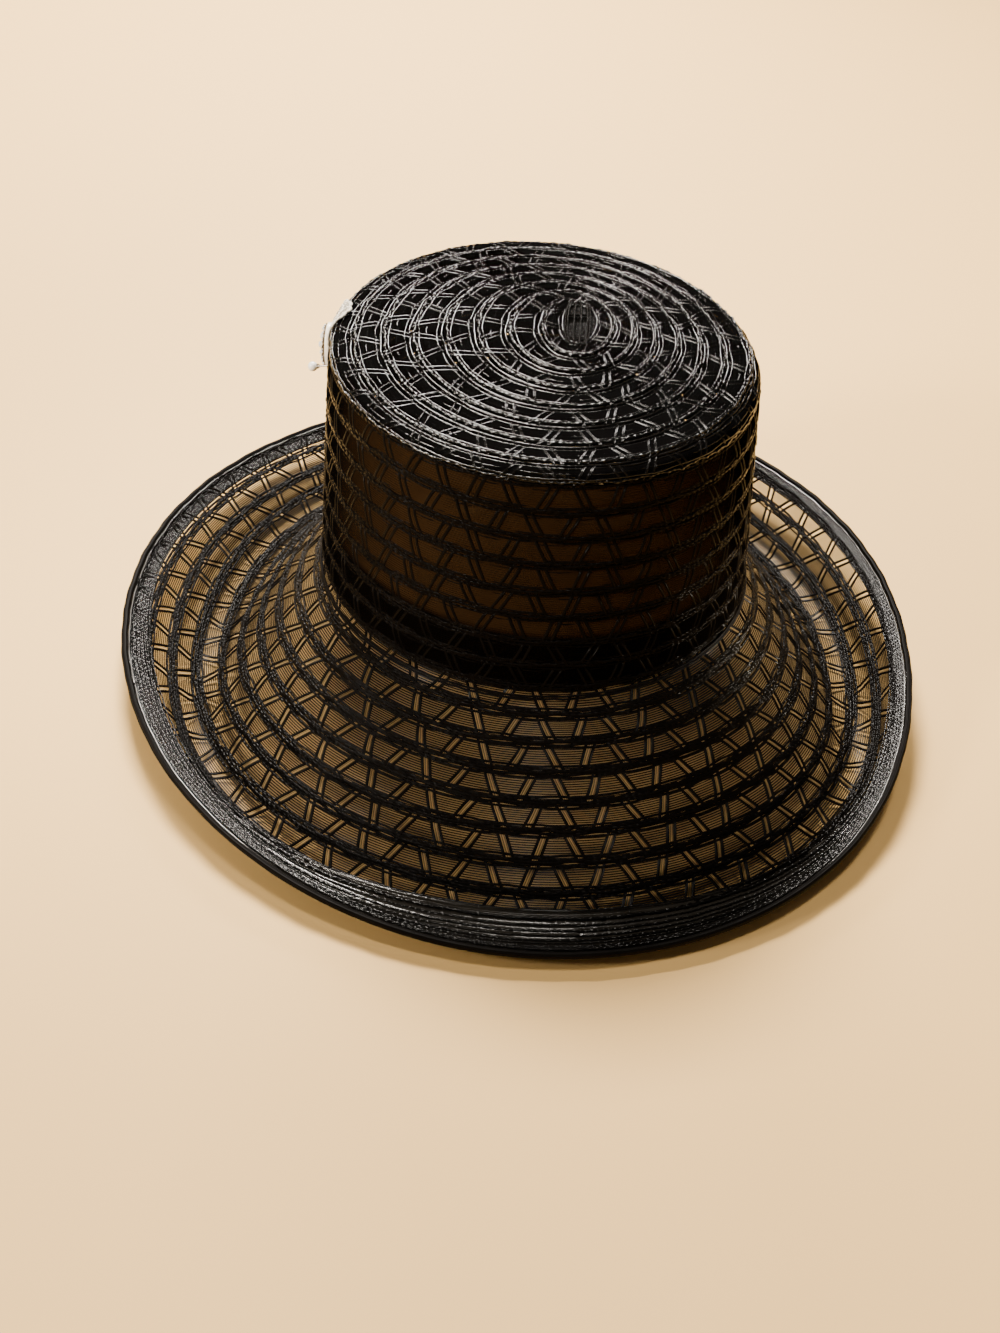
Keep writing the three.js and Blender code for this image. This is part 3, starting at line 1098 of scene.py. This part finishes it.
class HAT_OT_brooch(Operator):
    """White oval plate with a beaded rim, and a cluster of cut stones in settings on it"""

    bl_idname = "hat.brooch"
    bl_label = "Brooch"
    bl_options = {"REGISTER", "UNDO"}

    def execute(self, context):
        sizes = context.scene.hat_brooch
        radius = sizes.width / 2
        stretch = sizes.length / sizes.width
        frame_at = on_crown(sizes.direction, sizes.height, sizes.off, sizes.lean, sizes.swing)
        oval = frame_at @ Matrix.Diagonal((1, stretch, 1, 1))

        bm = bmesh.new()
        bevelled_disc(bm, radius, 0, sizes.plate_thickness, 64, 0.4 * MM)
        bm.transform(oval)
        finish_piece("enamel_plate", mesh_from(bm), plate_material(sizes), ("brooch_plate",), 30)

        bm = bmesh.new()
        for index in range(BEADS):
            turn = index / BEADS * TAU
            place = Vector((
                (radius - 0.75 * MM) * math.cos(turn),
                (radius - 0.75 * MM) * stretch * math.sin(turn),
                sizes.plate_thickness + 0.1 * MM,
            ))
            bmesh.ops.create_icosphere(bm, subdivisions=2, radius=0.42 * MM, matrix=Matrix.Translation(place))
        add_dome(bm, radius - 1.3 * MM, stretch, sizes.plate_thickness - 0.1 * MM)
        stones = bmesh.new()
        for x, y, height, size in stone_places(radius, stretch, sizes.plate_thickness):
            add_setting(bm, x, y, height, size)
            add_stone(stones, x, y, height, size)
        bm.transform(frame_at)
        stones.transform(frame_at)
        finish_piece("stone_settings", mesh_from(bm), setting_material(), smooth=35)
        finish_piece("cut_stones", mesh_from(stones), stone_material(), ("brooch_stones",), 1)
        return {"FINISHED"}


def add_dome(bm, radius, stretch, base):
    """Low dome under the stones"""
    for share, rise in ((1.0, 0.4), (0.8, 0.8), (0.55, 1.2)):
        verts = bevelled_disc(bm, radius * share, base, base + rise * MM, 40, 0.25 * MM)
        bmesh.ops.scale(bm, verts=verts, vec=(1, stretch, 1))


def stone_places(radius, stretch, base):
    """Places, heights and sizes of the stones: one in the middle and two rings"""
    yield 0.0, 0.0, base + 1.7 * MM, 2.1 * MM
    for count, share, height, size in STONE_RINGS:
        for index in range(count):
            turn = (index + 0.5) / count * TAU
            yield (share * radius * math.cos(turn), share * radius * stretch * math.sin(turn),
                   base + height * MM, size * MM)


def add_setting(bm, x, y, height, size):
    """Open cup with four claws that holds one stone"""
    cup = bmesh.ops.create_cone(
        bm, cap_ends=True, segments=16, radius1=0.8 * size, radius2=1.04 * size, depth=0.4 * size)
    bmesh.ops.translate(bm, verts=cup["verts"], vec=(x, y, height - 0.16 * size))
    for index in range(4):
        turn = (index + 0.5) / 4 * TAU
        reach = 0.95 * size
        claw = (x + reach * math.cos(turn), y + reach * math.sin(turn), height + 0.16 * size)
        bmesh.ops.create_icosphere(bm, subdivisions=1, radius=0.2 * size, matrix=Matrix.Translation(claw))


def add_stone(bm, x, y, height, size):
    """Cut stone: flat table, facets down to its girdle"""
    made = bmesh.ops.create_cone(
        bm, cap_ends=True, segments=8, radius1=0.98 * size, radius2=0.5 * size, depth=0.8 * size)
    verts = made["verts"]
    slopes = {edge for vert in verts for edge in vert.link_edges
              if abs(edge.verts[0].co.z - edge.verts[1].co.z) > 0.1 * size}
    result = bmesh.ops.bevel(
        bm, geom=list(slopes), offset=0.2 * size, segments=1, profile=0.5, affect="EDGES", material=-1)
    verts = list({*result["verts"], *(vert for vert in verts if vert.is_valid)})
    bmesh.ops.translate(bm, verts=verts, vec=(x, y, height + 0.43 * size))


class HAT_OT_pin(Operator):
    """Hat pin: dark stem with a small cap, and its pearl"""

    bl_idname = "hat.pin"
    bl_label = "Pin"
    bl_options = {"REGISTER", "UNDO"}

    def execute(self, context):
        sizes = context.scene.hat_pin
        frame_at = on_crown(sizes.direction, sizes.height, GAP, -sizes.dip, sizes.swing)
        bm = bmesh.new()
        bevelled_disc(bm, sizes.radius, -1.2 * MM, sizes.length + 0.2 * MM, 20, 0)
        cap = sizes.length - 0.25 * MM
        bevelled_disc(bm, 0.95 * MM, cap, cap + 0.55 * MM, 24, 0.2 * MM)
        bevelled_disc(bm, 0.6 * MM, cap - 0.5 * MM, cap + 0.1 * MM, 24, 0.15 * MM)
        bm.transform(frame_at)
        finish_piece("stem_and_cap", mesh_from(bm), pin_material(), ("pin_stem",), 35)
        bm = bmesh.new()
        bmesh.ops.create_uvsphere(
            bm, u_segments=40, v_segments=24, radius=sizes.pearl_radius,
            matrix=Matrix.Translation((0, 0, sizes.length + GAP + sizes.pearl_radius)))
        bm.transform(frame_at)
        finish_piece("pearl", mesh_from(bm), pearl_material(), ("pin_pearl",), 60)
        return {"FINISHED"}


# Materials


class Finish:
    """Material of one kind of piece. Numbers that are the same all over go on the shader's own sockets."""

    def __init__(self, name, **numbers):
        self.material = bpy.data.materials.new(name)
        self.material.use_nodes = True
        self.tree = self.material.node_tree
        self.shader = next(item for item in self.tree.nodes if item.type == "BSDF_PRINCIPLED")
        for socket, value in numbers.items():
            self.shader.inputs[socket.replace("_", " ")].default_value = value

    def node(self, kind, label, **values):
        """Node whose inputs are given by name as sockets or numbers"""
        made = self.tree.nodes.new(kind)
        made.label = label
        for name, value in values.items():
            self.put(value, made.inputs[name.replace("_", " ")])
        return made

    def put(self, value, socket):
        if isinstance(value, bpy.types.NodeSocket):
            self.tree.links.new(value, socket)
        else:
            socket.default_value = value

    def math(self, label, operation, *values):
        made = self.node("ShaderNodeMath", label)
        made.operation = operation
        for value, socket in zip(values, made.inputs):
            self.put(value, socket)
        return made.outputs[0]

    def spread(self, label, value, low, high, from_low=0.0, from_high=1.0):
        """Range of a value widened or narrowed"""
        return self.node(
            "ShaderNodeMapRange", label, Value=value, From_Min=from_low, From_Max=from_high,
            To_Min=low, To_Max=high).outputs["Result"]

    def place(self):
        return self.tree.nodes.new("ShaderNodeTexCoord").outputs["Object"]

    def noise(self, label, scale, detail):
        """Noise over the piece's own coordinates"""
        return self.node(
            "ShaderNodeTexNoise", label, Vector=self.place(), Scale=scale, Detail=detail).outputs["Fac"]

    def braid_uv(self):
        """Length along the braid and place across it, as two sockets"""
        uv = self.tree.nodes.new("ShaderNodeUVMap")
        uv.uv_map = "BraidUV"
        split = self.node("ShaderNodeSeparateXYZ", "braid", Vector=uv.outputs["UV"])
        return split.outputs["X"], split.outputs["Y"]

    def wave(self, label, place, count):
        """Even wave from -1 to 1 with a number of crests for each unit"""
        return self.math(label, "SINE", self.math(label, "MULTIPLY", place, count * TAU))

    def roughened(self, label, waves, share, scale, detail):
        """Even waves with a share of noise added"""
        return self.math("uneven " + label, "MULTIPLY_ADD", self.noise("ripples", scale, detail), share, waves)

    def tint(self, label, factor, dark, light):
        """Base colour between two by a factor"""
        made = self.node("ShaderNodeMix", label)
        made.data_type = "RGBA"
        self.put(factor, made.inputs["Factor"])
        colors = [item for item in made.inputs if item.type == "RGBA"]
        for socket, color in zip(colors, (dark, light)):
            socket.default_value = (*color, 1)
        result = next(item for item in made.outputs if item.type == "RGBA")
        self.tree.links.new(result, self.shader.inputs["Base Color"])

    def gloss(self, label, spots, scale, detail, *limits):
        """Roughness that a noise spreads between two limits"""
        self.put(self.spread(label, self.noise(spots, scale, detail), *limits), self.shader.inputs["Roughness"])

    def cover(self, value):
        self.put(value, self.shader.inputs["Alpha"])

    def bump(self, label, height, strength, distance):
        made = self.node("ShaderNodeBump", label, Strength=strength, Distance=distance, Height=height)
        self.put(made.outputs["Normal"], self.shader.inputs["Normal"])


def lighter(color, times):
    return tuple(times * part + 0.0004 for part in color)


def film_material(name, sizes, zone, cover_range):
    """Fine dark threads side by side, sheer between them, a little denser here and there, with a painted glow
    at the front of the crown's side
    """
    made = Finish(name, Specular_IOR_Level=zone.shine)
    threads = made.wave("threads", made.braid_uv()[1], sizes.film_threads)
    patches = made.spread("patches", made.noise("denser patches", 45, 2), 0.85, 1.15)
    cover = made.spread("thread or gap", threads, *cover_range, -0.7, 0.9)
    made.cover(made.math("patchy cover", "MULTIPLY", cover, patches))
    fading = made.noise("fading", 130, 4)
    # On the crown's side the threads go from near-black to amber. The amber is a painted glow that stands in
    # for light seen through the film, most at the front. On the tip and brim a noise gives random fading
    # between the zone's colour and a lighter one.
    on_side = zone.name == "crown_side"
    dark = (0.0016, 0.0012, 0.0009) if on_side else zone.color
    made.tint("thread colour", painted_glow_share(made, fading) if on_side else fading, dark, lighter(zone.color, 1.9))
    made.gloss("worn gloss", "handling", 28, 3, 0.16, 0.28)
    made.bump("threads", made.roughened("threads", threads, 1.6, 260, 2), 0.8 if on_side else 0.5, 0.05 * MM)
    return made.material


def painted_glow_share(made, fading):
    """Share of painted glow, amber that stands in for light seen through the film: most at the front of the
    crown, none on its flanks and behind the ribbon, varied at random
    """
    split = made.node("ShaderNodeSeparateXYZ", "place", Vector=made.place())
    front = made.spread("front", split.outputs["Y"], 0, 1, -0.4 * FOOT.half_length, -0.8 * FOOT.half_length)
    ribbon_top = FOOT.height + 30 * MM
    above = made.spread(
        "above the ribbon", split.outputs["Z"], 0, 1, ribbon_top - 1.5 * MM, ribbon_top + 1.5 * MM)
    most = made.math("front above the ribbon", "MULTIPLY", front, above)
    return made.math("painted glow share", "MULTIPLY", most, made.spread("fading", fading, 0.45, 0.95))


def dense_film_material():
    """Two layers of film over each other, which let next to no light through"""
    made = Finish("dense_film", Specular_IOR_Level=0.015)
    made.tint("thread colour", made.noise("fading", 120, 4), (0.0015, 0.0013, 0.0011), (0.004, 0.003, 0.0022))
    made.gloss("worn gloss", "handling", 30, 3, 0.22, 0.45)
    made.bump("threads", made.wave("threads", made.braid_uv()[1], 22), 0.6, 0.08 * MM)
    made.cover(made.spread("cover", made.noise("patches", 60, 2), 0.86, 0.98))
    return made.material


def hem_film_material():
    """Two layers of film that glint a little where the hem is turned, and whose lighter colour is partly a
    painted sheen
    """
    made = Finish("hem_film", Specular_IOR_Level=0.4)
    # From near-black to grey: partly random tone, partly a painted sheen that stands in for glints on the hem
    made.tint("thread colour", made.noise("fading", 120, 4), (0.004, 0.0034, 0.0027), (0.04, 0.034, 0.026))
    made.gloss("worn gloss", "handling", 240, 3, 0.12, 0.3)
    threads = made.wave("threads", made.braid_uv()[1], 18)
    made.bump("threads", made.roughened("threads", threads, 2.0, 320, 3), 0.8, 0.2 * MM)
    made.cover(made.spread("cover", made.noise("patches", 60, 2), 0.8, 0.96))
    return made.material


def straw_finish(kind, sizes, zone):
    """Black straw with slight fading and worn gloss, shinier on the tip of the crown, which is rubbed most"""
    suffix, shine = {
        "crown_tip": ("_of_the_tip", 0.12 if kind == "straw_ribs" else 0.42),
        "crown_side": ("_of_the_side", 0.02),
        "hem": ("_of_the_hem", 0.3),
    }.get(zone, ("", 0.045))
    made = Finish(kind + suffix, Specular_IOR_Level=shine)
    dark = tuple(sizes.straw_color)
    made.tint("fading", made.noise("fading", 90, 4), dark, lighter(dark, 2.4))
    made.gloss("worn gloss", "handling", 260, 3, 0.08, 0.22, 0.3, 0.65)
    return made


def rib_material(sizes, zone):
    """Glossy black straw of the ribs, grooved lengthwise"""
    made = straw_finish("straw_ribs", sizes, zone)
    grooves = made.wave("grooves", made.braid_uv()[1], 3)
    made.bump("grooves", made.roughened("grooves", grooves, 2.2, 420, 3), 0.5, 0.12 * MM)
    return made.material


def cord_material(sizes, zone):
    """Glossy black cord with a slow twist along it"""
    made = straw_finish("straw_cord", sizes, zone)
    length, around = made.braid_uv()
    twist = made.math("twist", "MULTIPLY_ADD", length, 4.2, made.math("turns", "MULTIPLY", around, 2))
    plies = made.roughened("plies", made.wave("plies", twist, 1), 1.4, 300, 3)
    made.bump("plies", plies, 0.6, 0.02 * MM if zone == "crown_tip" else 0.16 * MM)
    return made.material


def stitch_material(sizes, zone):
    """Glossy black thread of the chain stitches"""
    made = straw_finish("straw_stitches", sizes, zone)
    length, around = made.braid_uv()
    plies = made.wave("plies", made.math("lay", "ADD", around, length), 5)
    made.bump("plies", made.roughened("plies", plies, 2.0, 500, 2), 0.45, 0.12 * MM)
    return made.material


def binding_material(sizes):
    """Smooth black binding with a few lengthwise folds"""
    made = Finish("black_binding", Specular_IOR_Level=0.035)
    folds = made.wave("folds", made.braid_uv()[1], 9)
    made.bump("folds", made.roughened("folds", folds, 3.0, 150, 3), 0.35, 0.2 * MM)
    dark = tuple(sizes.straw_color)
    made.tint("fading", made.noise("fading", 90, 4), dark, tuple(3 * part for part in dark))
    made.gloss("worn gloss", "handling", 60, 3, 0.4, 0.6)
    return made.material


def thread_material():
    """Smooth thread painted grey as a painted highlight, so that it shows as a bright line"""
    made = Finish("bright_thread", Coat_Weight=0.5)
    # The grey, varied at random, is a painted highlight that makes the thread show as a bright line along the
    # edge
    made.tint("fading", made.noise("fading", 200, 3), (0.02, 0.02, 0.02), (0.16, 0.15, 0.14))
    made.gloss("worn gloss", "handling", 80, 3, 0.12, 0.3)
    return made.material


def band_material():
    """Dull black ribbed ribbon"""
    made = Finish("ribbon", Sheen_Weight=0.15)
    length, across = made.braid_uv()
    made.tint("rubbed black", made.noise("rubbing", 60, 4), (0.004, 0.0035, 0.0033), (0.012, 0.010, 0.008))
    made.gloss("rubbed places", "handling", 30, 3, 0.55, 0.8)
    weave = made.math("weave", "MULTIPLY", made.wave("warp", length, 1), made.wave("weft", across, 2))
    made.bump("weave", weave, 0.5, 0.15 * MM)
    return made.material


def lace_finish(name, sizes):
    """Ivory cotton, yellowed a little in places"""
    made = Finish(name, Sheen_Weight=0.25)
    light = tuple(sizes.color)
    dark = (0.86 * light[0], 0.80 * light[1], 0.68 * light[2])
    made.tint("yellowing", made.noise("yellowing", 140, 4), dark, light)
    made.gloss("soft gloss", "fibres", 600, 2, 0.6, 0.85)
    return made


def net_material(sizes):
    """Fine ivory net with open meshes"""
    made = lace_finish("lace_net", sizes)
    first, second = made.braid_uv()
    one_way = made.wave("one way", made.math("leaning threads", "ADD", first, second), 0.55)
    other_way = made.wave("other way", made.math("other threads", "SUBTRACT", first, second), 0.55)
    meshes = made.math("meshes", "MAXIMUM", one_way, other_way)
    made.cover(made.spread("thread or hole", meshes, 0.12, 1.0, 0.35, 0.75))
    made.bump("net threads", meshes, 0.6, 0.2 * MM)
    return made.material


def lace_material(sizes):
    """Ivory cotton cord"""
    made = lace_finish("lace_cord", sizes)
    length, around = made.braid_uv()
    twist = made.math("twist", "MULTIPLY_ADD", length, 6, made.math("turns", "MULTIPLY", around, 2))
    made.bump("plies", made.wave("plies", twist, 1), 0.6, 0.15 * MM)
    return made.material


def plate_material(sizes):
    """White enamel, slightly clouded, with rubbed places"""
    made = Finish("white_enamel", Coat_Weight=0.4)
    light = tuple(sizes.plate_color)
    dark = (0.88 * light[0], 0.86 * light[1], 0.80 * light[2])
    made.tint("clouding", made.noise("clouding", 220, 4), dark, light)
    made.gloss("rubbed places", "rubbing", 320, 3, 0.12, 0.32)
    made.bump("slight waves", made.noise("waves", 500, 2), 0.12, 0.1 * MM)
    return made.material


def setting_material():
    """Dark gilt metal of the settings, brighter where rubbed"""
    made = Finish("gilt_settings", Metallic=1.0)
    made.tint("tarnish", made.noise("tarnish", 420, 4), (0.05, 0.04, 0.028), (0.34, 0.27, 0.17))
    made.gloss("tarnish gloss", "dull places", 500, 3, 0.2, 0.45)
    return made.material


def stone_material():
    """Clear cut glass stones"""
    made = Finish("clear_stones", Transmission_Weight=0.25, IOR=1.9)
    made.tint("slight tint", made.noise("tint", 900, 1), (0.72, 0.76, 0.82), (0.98, 0.98, 0.97))
    made.gloss("fine scratches", "scratches", 2500, 2, 0.01, 0.07)
    return made.material


def pin_material():
    """Dark steel, a little tarnished"""
    made = Finish("dark_steel", Metallic=1.0)
    made.tint("tarnish", made.noise("tarnish", 700, 4), (0.16, 0.13, 0.11), (0.42, 0.38, 0.34))
    made.gloss("tarnish gloss", "dull places", 900, 3, 0.2, 0.4)
    return made.material


def pearl_material():
    """Pearl lustre with a faint warm bloom"""
    made = Finish("pearl", Coat_Weight=0.7, Coat_Roughness=0.08, Sheen_Weight=0.2)
    made.tint("bloom", made.noise("bloom", 380, 2), (0.84, 0.78, 0.70), (0.94, 0.92, 0.88))
    made.gloss("lustre", "lustre", 500, 3, 0.14, 0.26)
    return made.material


# Stage

CAMERA_PLACE = Vector((-4.147 * MM, -540.31 * MM, 414.124 * MM))
CAMERA_YAW = math.radians(-0.150)
CAMERA_PITCH = math.radians(38.422)
CAMERA_ROLL = math.radians(5.840)

# Lights: name, place, where it points, size, power, colour and spread in degrees
LIGHTS = (
    ("back_window", (-0.32, 1.05, 1.5), (0, 0, 0.05), (0.6, 0.42), 112, (1.0, 0.93, 0.84), 180),
    ("low_window", (-0.28, 1.6, 0.86), (0, 0, 0.1), (0.5, 0.12), 18, (1.0, 0.95, 0.9), 180),
    ("top_card", (0.1, -0.25, 1.5), (0, -0.1, 0.02), (0.3, 0.2), 9, (1.0, 0.93, 0.84), 180),
    ("left_card", (-0.62, -0.4, 0.45), (-0.08, 0.03, 0.12), (0.2, 0.2), 0.8, (1.0, 0.93, 0.82), 40),
    ("side_card", (0.43, 0.05, 0.05), (0.07, -0.03, 0.05), (0.05, 0.05), 0.03, (1.0, 0.90, 0.74), 14),
)


class HAT_OT_stage(Operator):
    """Plain floor, soft lights and the camera"""

    bl_idname = "hat.stage"
    bl_label = "Stage"
    bl_options = {"REGISTER", "UNDO"}

    def execute(self, context):
        sizes = context.scene.hat_stage
        add_camera(sizes.lens)
        bm = bmesh.new()
        bmesh.ops.create_grid(bm, x_segments=1, y_segments=1, size=sizes.floor_size / 2)
        floor = new_object("floor", mesh_from(bm))
        floor.data.materials.append(Finish("floor", Base_Color=(*sizes.floor_color, 1), Roughness=0.7).material)
        world = bpy.data.worlds.new("studio")
        world.use_nodes = True
        background = world.node_tree.nodes["Background"]
        background.inputs["Color"].default_value = (1.0, 0.90, 0.78, 1)
        background.inputs["Strength"].default_value = 0.08
        context.scene.world = world
        for light in LIGHTS:
            add_area_light(*light)
        return {"FINISHED"}


def add_camera(lens):
    forward = Vector((
        math.sin(CAMERA_YAW) * math.cos(CAMERA_PITCH),
        math.cos(CAMERA_YAW) * math.cos(CAMERA_PITCH),
        -math.sin(CAMERA_PITCH),
    ))
    level = forward.cross(Vector((0, 0, 1))).normalized()
    upright = level.cross(forward)
    right = math.cos(CAMERA_ROLL) * level + math.sin(CAMERA_ROLL) * upright
    up = -math.sin(CAMERA_ROLL) * level + math.cos(CAMERA_ROLL) * upright
    data = bpy.data.cameras.new("camera")
    data.sensor_width = 36
    data.lens = lens
    data.clip_start = 0.01
    data.clip_end = 30
    camera = bpy.data.objects.new("camera", data)
    bpy.context.scene.collection.objects.link(camera)
    turn = Matrix((right, up, -forward)).transposed().to_4x4()
    camera.matrix_world = Matrix.Translation(CAMERA_PLACE) @ turn
    bpy.context.scene.camera = camera


def add_area_light(name, place, target, size, power, color, spread):
    data = bpy.data.lights.new(name, "AREA")
    data.shape = "RECTANGLE"
    data.size, data.size_y = size
    data.energy = power
    data.color = color
    data.spread = math.radians(spread)
    light = bpy.data.objects.new(name, data)
    bpy.context.scene.collection.objects.link(light)
    aim = Vector(target) - Vector(place)
    light.matrix_world = Matrix.Translation(place) @ aim.to_track_quat("-Z", "Y").to_matrix().to_4x4()


class HAT_PT_panel(Panel):
    """Buttons that build the hat piece by piece"""

    bl_label = "Lace Braid Hat"
    bl_idname = "HAT_PT_panel"
    bl_space_type = "VIEW_3D"
    bl_region_type = "UI"
    bl_category = "Hat"

    def draw(self, context):
        for operator in OPERATORS:
            self.layout.operator(operator.bl_idname)


OPERATORS = (
    HAT_OT_stage, HAT_OT_windows, HAT_OT_ribs, HAT_OT_cords, HAT_OT_block, HAT_OT_hem, HAT_OT_binding,
    HAT_OT_band, HAT_OT_foot_cord, HAT_OT_leaf, HAT_OT_brooch, HAT_OT_pin,
)
GROUPS = {
    "hat_braid": BraidSizes,
    "hat_edge": EdgeSizes,
    "hat_band": BandSizes,
    "hat_leaf": LeafSizes,
    "hat_brooch": BroochSizes,
    "hat_pin": PinSizes,
    "hat_stage": StageSizes,
}
CLASSES = (*GROUPS.values(), *OPERATORS, HAT_PT_panel)


def register():
    for cls in CLASSES:
        bpy.utils.register_class(cls)
    for name, group in GROUPS.items():
        setattr(bpy.types.Scene, name, PointerProperty(type=group))


def unregister():
    for name in GROUPS:
        delattr(bpy.types.Scene, name)
    for cls in reversed(CLASSES):
        bpy.utils.unregister_class(cls)


def main():
    register()
    bpy.ops.hat.stage()
    bpy.ops.hat.windows()
    bpy.ops.hat.ribs()
    bpy.ops.hat.cords()
    bpy.ops.hat.block()
    bpy.ops.hat.hem()
    bpy.ops.hat.binding()
    bpy.ops.hat.band()
    bpy.ops.hat.foot_cord()
    bpy.ops.hat.leaf()
    bpy.ops.hat.brooch()
    bpy.ops.hat.pin()


if __name__ == "__main__":
    main()
